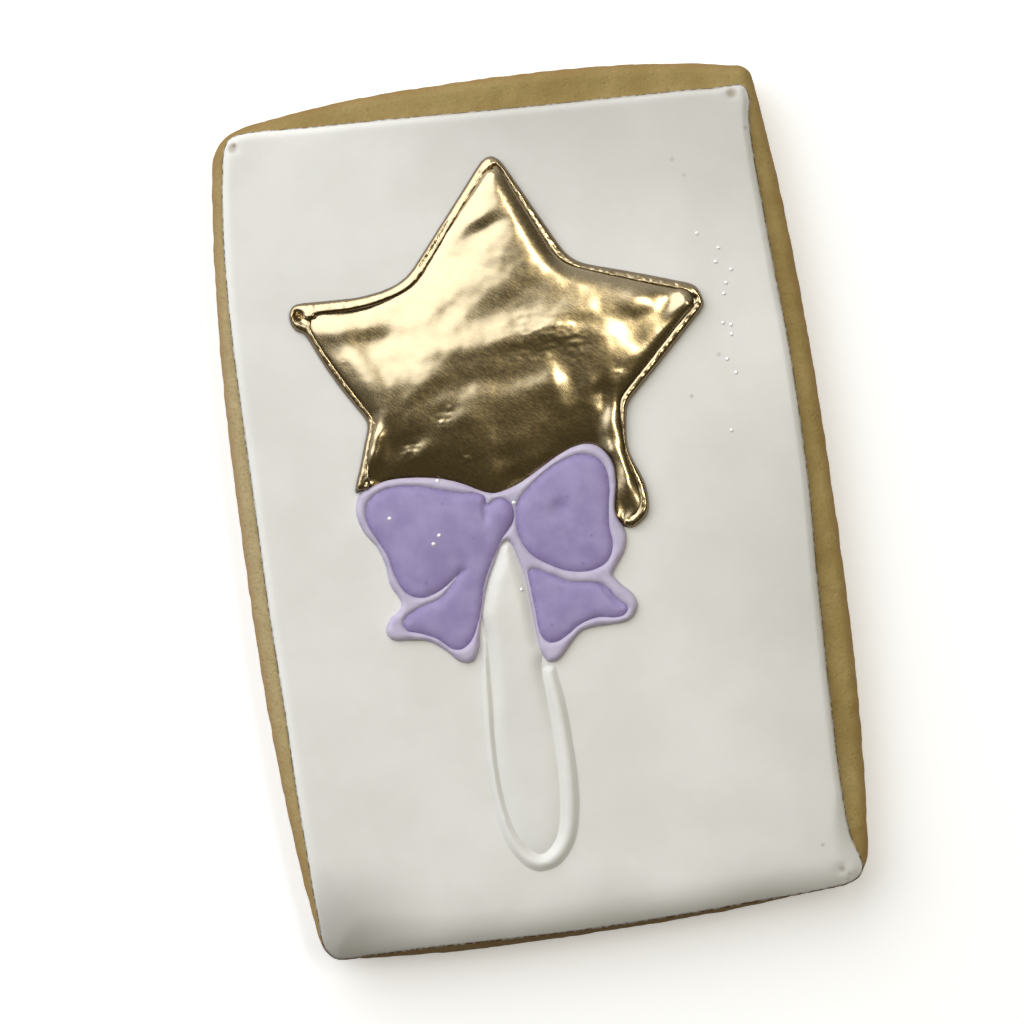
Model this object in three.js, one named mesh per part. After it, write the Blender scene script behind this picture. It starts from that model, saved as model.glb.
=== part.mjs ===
// Iced sugar cookie: a baked biscuit under a white base of royal icing, with a fairy wand piped on top.
// The wand is a gilded five-pointed star, a lilac bow and a white handle. Each was piped as an outline
// and then flooded, so each has a line of its own round one or more puffed floods.
// Millimetres, +Z up. The biscuit lies on z = 0, +Y runs up the wand and the origin is under the middle.
import * as THREE from "three";

// Driving dimensions
const BISCUIT_THICKNESS = 6.8;
const BASE_THICKNESS = 1.7;
const LINE_HEIGHT = 1.05; // a piped line over the base
const STAR_HEIGHT = 2.1; // the floods over the base
const BOW_HEIGHT = 1.45;
const HANDLE_HEIGHT = 0.85;
const GAP = 0.2; // the crease between two pieces of icing
const WALL = 0.25; // height at which icing starts to round over
const BISCUIT_TOP = BISCUIT_THICKNESS;
const BASE_TOP = BISCUIT_TOP + BASE_THICKNESS;

// How closely outlines are sampled
const BISCUIT_STEP = 2.6;
const BASE_STEP = 1.7;
const STAR_STEP = 0.9;
const BOW_STEP = 0.85;
const HANDLE_STEP = 1.2;
const EDGE_SAMPLES = 12; // points between two control points, where an edge is copied from a neighbour
const CORNER_SAMPLES = 5;

// A cutter's rectangle, whose sides bow out as the dough spreads. Corners run clockwise from the top left,
// cuts are how far from each its rounding starts, and bulges are those of the top, right, bottom and left.
const BISCUIT_PLAN = {
  corners: [[-28.35, 42.9], [28.45, 42.55], [29.1, -43.4], [-28.6, -44.1]],
  cuts: [3.4, 1.2, 3.0, 2.4],
  bulges: [2.4, 2.2, 1.5, 2.65],
};
const BOW_OUT_POWER = 2.5; // 2 would be a parabola, and more keeps the middle flatter

// The base of icing's edge, clockwise from under its top left corner. It was piped a little unevenly: the
// right side pulls in above and below its middle, and the lower corners run out to the biscuit's edge.
const BASE_EDGE = [
  [-28.0, 37.5], [-27.5, 40.3], [-27.1, 41.8], [-26.2, 42.6], [-24.6, 42.8], [-18.0, 42.5], [-10.0, 42.2],
  [-2.0, 41.8], [6.0, 41.45], [14.0, 41.15], [22.0, 40.85], [25.0, 40.65], [26.8, 40.75],
  [27.8, 40.3], [28.0, 39.3], [27.7, 37.5], [27.6, 34.5], [27.8, 28.0], [28.15, 20.0], [28.5, 13.0],
  [28.6, 5.0], [28.5, -3.0], [28.15, -10.0], [27.85, -18.0], [27.6, -26.0], [27.5, -33.0], [27.7, -38.5],
  [28.2, -41.1], [28.15, -42.4], [27.0, -43.3], [24.5, -43.9], [17.0, -44.25], [9.0, -44.55], [0.0, -44.7],
  [-9.0, -44.55], [-18.0, -44.3], [-25.0, -44.15], [-26.9, -43.9], [-27.9, -43.1], [-28.35, -41.8],
  [-28.75, -38.0], [-28.95, -32.0], [-29.1, -25.0], [-29.15, -17.0], [-29.3, -9.0], [-29.3, 0.0],
  [-29.25, 8.0], [-29.25, 16.0], [-29.1, 24.0], [-28.7, 31.0],
];

// The bow's outer edge, clockwise in four stretches of control points. The star's feet stand on the first,
// and the handle comes out between the tails at the third.
const BOW_TOP_EDGE = [
  [-18.1, 3.65], [-17.0, 4.25], [-15.4, 4.7], [-13.4, 4.75], [-11.2, 4.5], [-9.0, 4.0], [-7.1, 3.2],
  [-5.8, 2.45], [-4.4, 1.9], [-2.9, 2.05], [-1.2, 2.65], [0.6, 3.6], [2.5, 4.65], [4.6, 5.5], [6.2, 5.6],
  [7.6, 4.9], [8.4, 3.7], [8.65, 2.2], [8.5, 0.7], [8.2, -0.6], [8.05, -1.8], [8.4, -2.9],
];
const BOW_RIGHT_EDGE = [
  [8.75, -4.1], [8.5, -5.6], [7.5, -7.1], [6.8, -8.2], [7.6, -9.4], [8.6, -10.5], [8.9, -11.8],
  [8.0, -13.0], [6.2, -13.3], [4.2, -13.3], [2.7, -13.6], [1.3, -14.9], [0.1, -16.1], [-0.9, -16.3],
];
const BOW_MIDDLE_EDGE = [
  [-1.6, -15.2], [-1.85, -12.6], [-2.0, -9.8], [-2.2, -7.3], [-2.65, -5.2], [-3.15, -3.6], [-3.75, -3.0],
  [-4.3, -3.5], [-5.1, -5.0], [-6.0, -6.7], [-6.7, -8.5], [-7.3, -10.6],
];
const BOW_LEFT_EDGE = [
  [-7.8, -12.6], [-8.1, -14.1], [-9.0, -15.15], [-10.1, -14.95], [-11.4, -13.6], [-13.1, -12.4],
  [-15.2, -12.0], [-16.8, -11.75], [-17.3, -10.7], [-16.6, -9.5], [-15.4, -8.6], [-15.4, -7.7],
  [-16.2, -6.1], [-16.4, -4.0], [-17.0, -2.0], [-18.1, -0.3], [-18.65, 1.7],
];

// The bow's floods. The left loop, the knot and the left tail ran together, so they share one opening in
// the bow's line, whose edge is these three in turn.
const LEFT_LOOP_EDGE = [
  [-7.3, -4.35], [-9.1, -5.75], [-11.2, -7.2], [-13.2, -7.7], [-14.7, -6.9], [-15.5, -5.0], [-15.9, -3.1],
  [-16.8, -1.2], [-17.6, 0.9], [-17.4, 2.4], [-16.3, 3.4], [-14.4, 3.8], [-11.8, 3.5], [-9.4, 2.75],
  [-7.4, 2.2], [-5.8, 1.95], [-5.2, 1.3],
];
const KNOT_EDGE = [
  [-5.2, 0.45], [-4.6, 0.95], [-3.7, 1.15], [-2.95, 0.75], [-2.65, -0.1], [-2.8, -1.1], [-3.5, -2.1],
  [-4.35, -3.0],
];
const KNOT_MOUTH = [[-6.1, -3.7], [-6.1, -1.5]]; // where it runs on into the left tail and loop
const LEFT_TAIL_EDGE = [
  [-5.05, -4.2], [-5.9, -5.6], [-6.7, -7.3], [-7.2, -9.1], [-7.8, -11.0], [-8.5, -12.5], [-9.6, -13.5],
  [-10.7, -13.4], [-11.9, -12.3], [-13.6, -11.4], [-15.3, -10.7], [-15.2, -9.9], [-13.4, -8.9],
  [-11.2, -8.2], [-9.8, -7.0], [-8.5, -5.6],
];
const RIGHT_LOOP = [
  [-2.2, -1.2], [-1.9, 0.4], [-0.7, 1.7], [1.2, 3.1], [3.2, 4.1], [5.1, 4.5], [6.7, 4.0], [7.5, 2.7],
  [7.6, 1.0], [7.25, -1.0], [7.0, -3.2], [7.1, -5.1], [6.4, -6.6], [4.7, -7.3], [2.6, -7.1], [0.6, -6.2],
  [-1.2, -4.8], [-2.1, -3.0],
];
const RIGHT_TAIL = [
  [-1.6, -6.6], [0.4, -7.4], [2.2, -8.4], [4.4, -8.8], [5.7, -9.2], [6.7, -10.6], [7.8, -12.0],
  [6.9, -12.5], [4.6, -12.2], [2.7, -12.7], [0.9, -13.8], [-0.5, -14.2], [-1.3, -13.3], [-1.5, -11.0],
  [-1.65, -8.6],
];

// The star above the bow, clockwise from its left foot: the outer edge of its piped line, then the edge
// of its flood. Each corner is x, y and how far from it the rounding starts.
const STAR_EDGE = [
  [-18.4, 3.9, 0.4], [-17.0, 8.2, 1.8], [-16.0, 10.9, 0.9], [-19.25, 16.2, 3], [-21.3, 21.0, 0.3],
  [-22.3, 21.5, 0.5], [-22.85, 22.8, 0.6], [-22.2, 24.15, 0.6], [-14.4, 23.85, 2.2], [-10.3, 24.9, 1.8],
  [-5.1, 31.0, 3], [0.4, 37.5, 2.3], [6.95, 24.6, 2], [14.6, 22.15, 3], [19.5, 20.4, 0.7],
  [20.2, 18.3, 0.7], [15.6, 13.85, 3], [10.7, 9.25, 1.2], [10.65, 5.8, 2.2], [11.6, 0.4, 1.2],
  [11.45, -2.85, 1.6], [9.0, -3.65, 0.2],
];
const STAR_FLOOD_EDGE = [
  [-17.2, 4.6, 0.2], [-16.25, 8.6, 1.8], [-15.2, 11.1, 0.8], [-18.35, 16.5, 3], [-20.5, 21.0, 1],
  [-20.6, 23.0, 0.8], [-14.6, 22.95, 3], [-9.7, 24.4, 2], [-4.4, 30.9, 3], [0.4, 36.3, 1.6],
  [5.8, 24.4, 2], [14.0, 21.35, 3], [18.6, 19.8, 0.5], [18.9, 18.6, 0.5], [14.95, 14.7, 3],
  [9.85, 9.8, 1.2], [9.8, 6.0, 2], [10.75, 0.6, 1.2], [10.55, -1.9, 1], [8.75, -2.5, 0.2],
];

// The handle's piped line, from the left tail down round the end and up to the right tail: x, y, width.
const HANDLE_LINE = [
  [-7.25, -12.6, 0.45], [-7.6, -15.6, 0.9], [-7.95, -19.5, 1.1], [-8.25, -24, 1.0], [-8.25, -28.5, 1.0],
  [-7.9, -32, 1.2], [-6.9, -35, 1.5], [-5.2, -36.8, 1.7], [-3.5, -36.6, 1.8], [-1.9, -34.9, 1.9],
  [-1.05, -32, 1.95], [-0.7, -28.5, 1.95], [-0.65, -24.5, 1.9], [-0.8, -20.5, 1.8], [-1.2, -16.8, 1.5],
];

// Plane geometry
const vector = ([x, y]) => new THREE.Vector2(x, y);

function counterClockwise(points) {
  return THREE.ShapeUtils.isClockWise(points) ? points.slice().reverse() : points;
}

const smoothThrough = (points) => new THREE.CatmullRomCurve3(
  points.map(({ x, y }) => new THREE.Vector3(x, y, 0)), true, "centripetal");
const flatten = ({ x, y }) => new THREE.Vector2(x, y);

// Points at an even step along the smooth closed curve through a run of points.
function evenly(points, step) {
  const curve = smoothThrough(points);
  curve.arcLengthDivisions = 4 * points.length;
  const count = Math.round(curve.getLength() / step);
  return curve.getSpacedPoints(count).slice(0, count).map(flatten);
}

// A closed smooth curve through control points, and a stretch of it between two of them.
class SmoothLoop {
  constructor(controls) {
    this.size = controls.length;
    this.curve = smoothThrough(controls.map(vector));
  }

  stretch(from, to) {
    const steps = (to - from) * EDGE_SAMPLES;
    return Array.from({ length: steps + 1 }, (_, i) => {
      const at = (from + i / EDGE_SAMPLES) / this.size;
      return flatten(this.curve.getPoint(at % 1));
    });
  }

  points(step) {
    return evenly(this.stretch(0, this.size).slice(0, -1), step);
  }
}

// An open or closed run of points, moved to the left of its direction of travel.
function shifted(points, distance, closed = false) {
  const last = points.length - 1;
  return points.map((p, i) => {
    const before = points[i > 0 ? i - 1 : closed ? last : 0];
    const after = points[i < last ? i + 1 : closed ? 0 : last];
    const along = after.clone().sub(before).normalize();
    return new THREE.Vector2(p.x - along.y * distance, p.y + along.x * distance);
  });
}

// The curve that rounds a corner off, from a point before it to a point after it.
function rounding(before, corner, after) {
  return new THREE.QuadraticBezierCurve(before, corner, after).getPoints(CORNER_SAMPLES);
}

// A rectangle with bowed sides and rounded corners.
function bowedRectangle({ corners, cuts, bulges }) {
  const next = (s) => (s + 1) % corners.length;
  const ends = corners.map(vector);
  const sides = ends.map((start, s) => {
    const side = ends[next(s)].clone().sub(start);
    const out = new THREE.Vector2(-side.y, side.x).normalize();
    const first = cuts[s] / side.length();
    const last = 1 - cuts[next(s)] / side.length();
    const steps = Math.round(side.length() / BISCUIT_STEP);
    return Array.from({ length: steps + 1 }, (_, i) => {
      const t = first + (last - first) * (i / steps);
      const bow = bulges[s] * (1 - Math.abs(2 * t - 1) ** BOW_OUT_POWER);
      return start.clone().addScaledVector(side, t).addScaledVector(out, bow);
    });
  });
  const corner = (s) => rounding(sides[s].at(-1), ends[next(s)], sides[next(s)][0]).slice(1, -1);
  return sides.flatMap((side, s) => [...side, ...corner(s)]);
}

// An open polyline through corners, each with its own rounding.
function roundedRun(corners) {
  return corners.flatMap(([x, y, cut], i) => {
    const corner = new THREE.Vector2(x, y);
    if (i === 0 || i === corners.length - 1) return [corner];
    const towards = ([tx, ty]) => {
      const way = new THREE.Vector2(tx - x, ty - y);
      return corner.clone().addScaledVector(way.normalize(), cut);
    };
    return rounding(towards(corners[i - 1]), corner, towards(corners[i + 1]));
  });
}

// Solids

// How far each point of a region's edge can move straight in before another part of the edge is as near:
// the radius of the largest circle that touches the edge there and stays inside.
function clearances(loops, inward) {
  const FAR = 1e3;
  const SHARES = [0, 0.25, 0.5, 0.75];
  const marks = loops.flatMap((loop) => loop.flatMap((p, i) => {
    const next = loop[(i + 1) % loop.length];
    return SHARES.map((share) => ({ at: p.clone().lerp(next, share), beside: share > 0 ? [p, next] : [] }));
  }));
  const room = (p, way) => marks.reduce((least, { at, beside }) => {
    const ahead = (at.x - p.x) * way.x + (at.y - p.y) * way.y;
    const tests = ahead > 1e-3 && !beside.includes(p);
    return tests ? Math.min(least, p.distanceToSquared(at) / (2 * ahead)) : least;
  }, FAR);
  return loops.map((loop, l) => loop.map((p, i) => room(p, inward[l][i])));
}

// Triangles that cover a flat region, as numbers of its points. A shared edge is swapped for the quad's
// other diagonal wherever that makes the thinner of the two triangles less thin.
function covering(rings) {
  const points = rings.flat();
  const faces = THREE.ShapeUtils.triangulateShape(rings[0], rings.slice(1));
  const thickness = (corners) => {
    const [p, q, r] = corners.map((v) => points[v]);
    const area = (q.x - p.x) * (r.y - p.y) - (q.y - p.y) * (r.x - p.x);
    return area / Math.max(p.distanceTo(q), q.distanceTo(r), r.distanceTo(p));
  };
  const thinner = (pair) => Math.min(...pair.map(thickness));
  const swapOne = () => {
    const opposite = new Map();
    faces.forEach(([a, b, c], f) => {
      opposite.set(`${a},${b}`, [f, c]).set(`${b},${c}`, [f, a]).set(`${c},${a}`, [f, b]);
    });
    for (const [edge, [f, c]] of opposite) {
      const [a, b] = edge.split(",").map(Number);
      const [g, d] = opposite.get(`${b},${a}`) ?? [];
      if (g === undefined) continue;
      const pair = [[a, d, c], [d, b, c]];
      if (thinner(pair) <= thinner([faces[f], faces[g]]) + 1e-9) continue;
      [faces[f], faces[g]] = pair;
      return true;
    }
    return false;
  };
  while (swapOne());
  return faces;
}

// A closed solid over a flat region, whose first loop is its outer edge and whose others are holes.
// foot lists the courses of its side as [inset, z], from the base up. levels are distances in from the
// edge, and top(distance) is the height there.
function moulded(loops, foot, levels, top) {
  const edges = loops.map((loop, l) => (l === 0 ? counterClockwise(loop) : counterClockwise(loop).reverse()));
  const inward = edges.map((loop) => shifted(loop, 1, true).map((p, i) => p.sub(loop[i])));
  const reach = clearances(edges, inward);
  const CREST = 0.7; // the share of the way to the middle line that the last course may take
  const courses = [
    ...foot.map(([inset, z]) => ({ inset: () => inset, z: () => z })),
    ...levels.map((level, k) => ({
      inset: (room) => Math.min(level, CREST * room * ((k + 1) / levels.length)),
      z: top,
    })),
  ];
  const positions = [];
  const rings = courses.map((course) => edges.map((loop, l) => loop.map((p, i) => {
    const inset = course.inset(reach[l][i]);
    positions.push(p.x + inward[l][i].x * inset, p.y + inward[l][i].y * inset, course.z(inset));
    return positions.length / 3 - 1;
  })));
  const triangles = [];
  for (let k = 1; k < rings.length; k++) {
    rings[k].forEach((ring, l) => ring.forEach((above, i) => {
      const j = (i + 1) % ring.length;
      const [below, belowNext] = [rings[k - 1][l][i], rings[k - 1][l][j]];
      triangles.push(below, belowNext, ring[j], below, ring[j], above);
    }));
  }
  const cap = (level, upwards) => {
    const plane = level.map((ring) => ring.map((v) => new THREE.Vector2(positions[3 * v], positions[3 * v + 1])));
    const flat = level.flat();
    covering(plane).forEach(([a, b, c]) => triangles.push(...(upwards ? [a, b, c] : [a, c, b]).map((v) => flat[v])));
  };
  cap(rings.at(-1), true);
  cap(rings[0], false);
  const geometry = new THREE.BufferGeometry();
  geometry.setAttribute("position", new THREE.Float32BufferAttribute(positions, 3));
  geometry.setIndex(triangles);
  geometry.computeVertexNormals();
  return geometry;
}

// Height over the base of icing that rounds over from its edge within a width, then swells by a crown.
const swelling = (height, width, crown = 0) => (distance) => {
  const inFromEdge = Math.min(distance / width, 1);
  const rounded = Math.sqrt(1 - (1 - inFromEdge) ** 2);
  const swollen = crown * (1 - Math.exp(-distance / (2 * width)));
  return BASE_TOP + WALL + (height - WALL - crown) * rounded + swollen;
};

const onBase = [[0, BASE_TOP]];

// The biscuit and the base icing
function biscuitGeometry() {
  const EDGE_DROP = 0.9;
  const EDGE_WIDTH = 1.3;
  const foot = [[0.7, 0], [0.2, 0.5], [0, 2.2], [0, BISCUIT_TOP - 1.9]];
  const top = (d) => BISCUIT_TOP - EDGE_DROP * (1 - Math.min(d / EDGE_WIDTH, 1)) ** 2;
  return moulded([bowedRectangle(BISCUIT_PLAN)], foot, [0.08, 0.35, 0.75, EDGE_WIDTH], top);
}

function baseGeometry() {
  const EDGE_WIDTH = 1.6;
  const foot = [[0.12, BISCUIT_TOP], [0, BISCUIT_TOP + 0.3]];
  const top = (d) => {
    const inFromEdge = Math.min(d / EDGE_WIDTH, 1);
    return BISCUIT_TOP + 0.3 + (BASE_THICKNESS - 0.3) * Math.sqrt(1 - (1 - inFromEdge) ** 2);
  };
  return moulded([new SmoothLoop(BASE_EDGE).points(BASE_STEP)], foot, [0.06, 0.25, 0.6, 1.05, EDGE_WIDTH], top);
}

// The bow
const bowLoop = new SmoothLoop([...BOW_TOP_EDGE, ...BOW_RIGHT_EDGE, ...BOW_MIDDLE_EDGE, ...BOW_LEFT_EDGE]);
const bowTopEnd = BOW_TOP_EDGE.length;
const bowMiddleStart = bowTopEnd + BOW_RIGHT_EDGE.length;
const bowMiddleEnd = bowMiddleStart + BOW_MIDDLE_EDGE.length;
const leftOpening = [...LEFT_LOOP_EDGE, ...KNOT_EDGE, ...LEFT_TAIL_EDGE];
const bowPoints = (controls) => counterClockwise(new SmoothLoop(controls).points(BOW_STEP));

function bowLineGeometry() {
  const HALF_WIDTH = 0.5;
  const openings = [leftOpening, RIGHT_LOOP, RIGHT_TAIL].map(bowPoints);
  return moulded([bowLoop.points(BOW_STEP), ...openings], onBase, [0.12, 0.4], swelling(LINE_HEIGHT, HALF_WIDTH));
}

function bowFloodGeometry(controls) {
  const ROUND_OVER = 0.9;
  const CROWN = 0.35;
  const edge = shifted(bowPoints(controls), GAP, true);
  return moulded([edge], onBase, [0, 0.15, 0.5, 1.2, 2.2], swelling(BOW_HEIGHT, ROUND_OVER, CROWN));
}

// The star: a piped line round its points, and a flood whose lower edge follows the bow's top
const starFloodEdge = roundedRun(STAR_FLOOD_EDGE);

function starLineGeometry() {
  const inner = shifted(starFloodEdge, GAP).reverse();
  const edge = evenly([...roundedRun(STAR_EDGE), ...inner], STAR_STEP);
  return moulded([edge], onBase, [0.12, 0.4], swelling(LINE_HEIGHT, 0.5));
}

function starFloodGeometry() {
  const ROUND_OVER = 1.5;
  const CROWN = 0.6;
  const onBow = shifted(bowLoop.stretch(1, bowTopEnd - 1), GAP).reverse();
  const edge = evenly([...starFloodEdge, ...onBow], STAR_STEP);
  return moulded([edge], onBase, [0, 0.2, 0.7, 1.5, 3, 5.5], swelling(STAR_HEIGHT, ROUND_OVER, CROWN));
}

// The handle: a piped line, and a flood that fills it and runs up between the tails
function handleSides() {
  const controls = HANDLE_LINE.map(([x, y, width]) => new THREE.Vector3(x, y, width));
  const line = new THREE.CatmullRomCurve3(controls).getSpacedPoints(HANDLE_LINE.length * EDGE_SAMPLES);
  const centre = line.map((p) => new THREE.Vector2(p.x, p.y));
  const left = shifted(centre, 1).map((p, i) => p.sub(centre[i]));
  const side = (sign, extra) =>
    centre.map((p, i) => p.clone().addScaledVector(left[i], sign * (line[i].z / 2 + extra)));
  return { inner: (extra) => side(1, extra), outer: side(-1, 0) };
}

function handleLineGeometry() {
  const { inner, outer } = handleSides();
  const edge = evenly([...outer, ...inner(0).reverse()], HANDLE_STEP);
  return moulded([edge], onBase, [0.15, 0.6], swelling(LINE_HEIGHT, 0.9));
}

function handleFloodGeometry() {
  const between = shifted(bowLoop.stretch(bowMiddleStart, bowMiddleEnd - 1), GAP);
  const edge = evenly([...between, ...handleSides().inner(GAP)], HANDLE_STEP);
  return moulded([edge], onBase, [0, 0.25, 0.8, 1.8], swelling(HANDLE_HEIGHT, 1.4));
}

// Materials
const baked = new THREE.MeshStandardMaterial({ color: 0xb49c66, roughness: 0.85 });
const white = new THREE.MeshStandardMaterial({ color: 0xdbd8d0, roughness: 0.45 });
const gold = new THREE.MeshStandardMaterial({ color: 0xc9ab62, roughness: 0.3, metalness: 1 });
const lilac = new THREE.MeshStandardMaterial({ color: 0x9c8fb6, roughness: 0.45 });
const paleLilac = new THREE.MeshStandardMaterial({ color: 0xb4a8c4, roughness: 0.45 });

const pieces = {
  biscuit: [biscuitGeometry(), baked],
  base_icing: [baseGeometry(), white],
  star_outline: [starLineGeometry(), gold],
  star_flood: [starFloodGeometry(), gold],
  bow_outline: [bowLineGeometry(), paleLilac],
  bow_left_loop: [bowFloodGeometry(LEFT_LOOP_EDGE), lilac],
  bow_knot: [bowFloodGeometry([...KNOT_EDGE, ...KNOT_MOUTH]), lilac],
  bow_left_tail: [bowFloodGeometry(LEFT_TAIL_EDGE), lilac],
  bow_right_loop: [bowFloodGeometry(RIGHT_LOOP), lilac],
  bow_right_tail: [bowFloodGeometry(RIGHT_TAIL), lilac],
  handle_outline: [handleLineGeometry(), white],
  handle_flood: [handleFloodGeometry(), white],
};

const cookie = new THREE.Group();
for (const [name, [geometry, material]] of Object.entries(pieces)) {
  const piece = new THREE.Mesh(geometry, material);
  piece.name = name;
  cookie.add(piece);
}

// The biscuit's box is centred on the origin.
const middle = new THREE.Box3().setFromObject(cookie.getObjectByName("biscuit")).getCenter(new THREE.Vector3());
cookie.position.set(-middle.x, -middle.y, 0);

export default cookie;
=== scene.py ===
"""Looks of an iced sugar cookie: a baked biscuit, a white base of royal icing, and a piped fairy wand
with a gilded star, a lilac bow and a white handle. Lengths in this script are millimetres in the frame
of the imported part, and are turned into metres where meshes, materials and the camera are made. Lights
and the camera's clipping are given in metres. Places are (x, y), seen from above with the star at the
top."""
import math

import bpy
import numpy as np
from mathutils import Euler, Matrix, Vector, noise
from mathutils.geometry import delaunay_2d_cdt
from mathutils.kdtree import KDTree


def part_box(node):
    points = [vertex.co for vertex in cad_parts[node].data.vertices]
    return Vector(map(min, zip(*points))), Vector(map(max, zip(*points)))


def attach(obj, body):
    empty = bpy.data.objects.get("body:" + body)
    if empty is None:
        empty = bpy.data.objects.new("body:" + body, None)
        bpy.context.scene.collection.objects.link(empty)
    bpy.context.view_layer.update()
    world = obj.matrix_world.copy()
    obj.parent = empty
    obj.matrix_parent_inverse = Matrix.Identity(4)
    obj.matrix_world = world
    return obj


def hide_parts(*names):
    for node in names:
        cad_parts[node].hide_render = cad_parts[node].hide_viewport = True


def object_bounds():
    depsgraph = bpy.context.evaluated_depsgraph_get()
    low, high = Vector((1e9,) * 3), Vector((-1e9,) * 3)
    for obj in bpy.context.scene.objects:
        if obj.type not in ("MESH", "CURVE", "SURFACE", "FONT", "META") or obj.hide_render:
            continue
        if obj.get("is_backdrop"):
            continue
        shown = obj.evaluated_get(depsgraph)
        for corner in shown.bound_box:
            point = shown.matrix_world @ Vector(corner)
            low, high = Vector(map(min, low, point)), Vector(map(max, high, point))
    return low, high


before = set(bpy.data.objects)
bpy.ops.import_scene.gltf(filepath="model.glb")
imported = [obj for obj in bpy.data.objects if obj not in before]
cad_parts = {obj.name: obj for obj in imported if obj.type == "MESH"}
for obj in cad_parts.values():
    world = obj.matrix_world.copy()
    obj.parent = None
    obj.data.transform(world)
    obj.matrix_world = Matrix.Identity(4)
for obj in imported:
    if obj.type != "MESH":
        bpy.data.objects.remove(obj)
cad_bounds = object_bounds()

MM = 0.001
BASE_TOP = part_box("base_icing")[1].z / MM
BISCUIT_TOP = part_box("biscuit")[1].z / MM
SINK = 0.12  # how far icing is set into the base, so that no light shows under it
ON_BASE = [(0, BASE_TOP - SINK)]  # the foot of what stands on the base


# ---- Flat outlines ----

def footprint(node):
    """The closed loops that bound a CAD node at its widest course, longest first."""
    tolerance = 1e-3
    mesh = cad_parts[node].data
    points = np.array([v.co for v in mesh.vertices]) / MM
    widest = points[points[:, 0] > points[:, 0].max() - tolerance, 2].min()
    level = np.abs(points[:, 2] - widest) < tolerance
    names = [tuple(np.round(p[:2], 2)) for p in points]
    follows = {}
    for face in mesh.polygons:
        corners = list(face.vertices)
        if all(level[corners]):
            continue
        for a, b in zip(corners, corners[1:] + corners[:1]):
            if level[a] and level[b]:
                follows.setdefault(names[a], set()).add(names[b])
                follows.setdefault(names[b], set()).add(names[a])
    loops = []
    while follows:
        here, loop = next(iter(follows)), []
        while here is not None:
            loop.append(here)
            others = follows.pop(here)
            here = next((p for p in others if p in follows), None)
        loops.append(np.array(loop))
    return sorted(loops, key=lambda loop: -abs(signed_area(loop)))


def signed_area(loop):
    x, y = loop.T
    return 0.5 * np.sum(x * np.roll(y, -1) - np.roll(x, -1) * y)


def refined(loop, step):
    """The smooth closed curve through a loop's points, counter-clockwise, as points at an even step."""
    if signed_area(loop) < 0:
        loop = loop[::-1]
    before, after, beyond = np.roll(loop, 1, 0), np.roll(loop, -1, 0), np.roll(loop, -2, 0)
    dense = []
    for t in np.arange(0, 1, 0.1):
        dense.append(0.5 * (2 * loop + (after - before) * t
                            + (2 * before - 5 * loop + 4 * after - beyond) * t ** 2
                            + (3 * loop - before - 3 * after + beyond) * t ** 3))
    return evenly(np.stack(dense, 1).reshape(-1, 2), step)


def evenly(loop, step):
    """A closed loop as points at an even step along it."""
    closed = np.vstack([loop, loop[:1]])
    along = np.concatenate([[0], np.cumsum(np.linalg.norm(np.diff(closed, axis=0), axis=1))])
    places = np.linspace(0, along[-1], int(along[-1] / step), endpoint=False)
    return np.column_stack([np.interp(places, along, closed[:, axis]) for axis in (0, 1)])


def inward(loop):
    """Unit vectors that point to the left of a loop's direction at each of its points."""
    along = np.roll(loop, -1, 0) - np.roll(loop, 1, 0)
    along /= np.linalg.norm(along, axis=1)[:, None]
    return np.column_stack([-along[:, 1], along[:, 0]])


def edges_of(loops):
    """The edges round closed loops, as pairs of numbers in the list of all their points."""
    edges, first = [], 0
    for loop in loops:
        count = len(loop)
        edges += [(first + i, first + (i + 1) % count) for i in range(count)]
        first += count
    return edges


def tree_of(points):
    tree = KDTree(len(points))
    for i, (x, y) in enumerate(points):
        tree.insert((x, y, 0), i)
    tree.balance()
    return tree


class Region:
    """A flat region: its outer loop counter-clockwise, and its holes clockwise. Edge number i runs from
    starts[i] to ends[i], and edge before[i] is the one that leads to it."""

    def __init__(self, loops):
        self.loops = loops
        self.starts = np.vstack(loops)
        self.ends = np.vstack([np.roll(loop, -1, 0) for loop in loops])
        self.before = np.empty(len(self.starts), int)
        for edge, following in edges_of(loops):
            self.before[following] = edge
        self.tree = tree_of(self.starts)

    def distance(self, points):
        """How far each point is from the region's edge."""
        nearest = np.array([self.tree.find((x, y, 0))[1] for x, y in points])
        return np.minimum(self.to_edge(points, nearest), self.to_edge(points, self.before[nearest]))

    def to_edge(self, points, edge):
        start, end = self.starts[edge], self.ends[edge]
        along = end - start
        share = np.sum((points - start) * along, 1) / np.sum(along * along, 1)
        return np.linalg.norm(points - start - along * np.clip(share, 0, 1)[:, None], axis=1)

    def lattice(self, step):
        """Points inside the region, on rows of an even triangular lattice."""
        points = []
        low, high = self.starts[:, 1].min(), self.starts[:, 1].max()
        for row, y in enumerate(np.arange(low, high, step * math.sqrt(3) / 2)):
            crossed = (self.starts[:, 1] > y) != (self.ends[:, 1] > y)
            a, b = self.starts[crossed], self.ends[crossed]
            xs = np.sort(a[:, 0] + (y - a[:, 1]) * (b[:, 0] - a[:, 0]) / (b[:, 1] - a[:, 1]))
            for left, right in zip(xs[::2], xs[1::2]):
                offset = step / 2 * (row % 2)
                x = np.arange(math.ceil((left - offset) / step), math.floor((right - offset) / step) + 1)
                points.append(np.column_stack([x * step + offset, np.full(len(x), y)]))
        return np.vstack(points)


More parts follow.
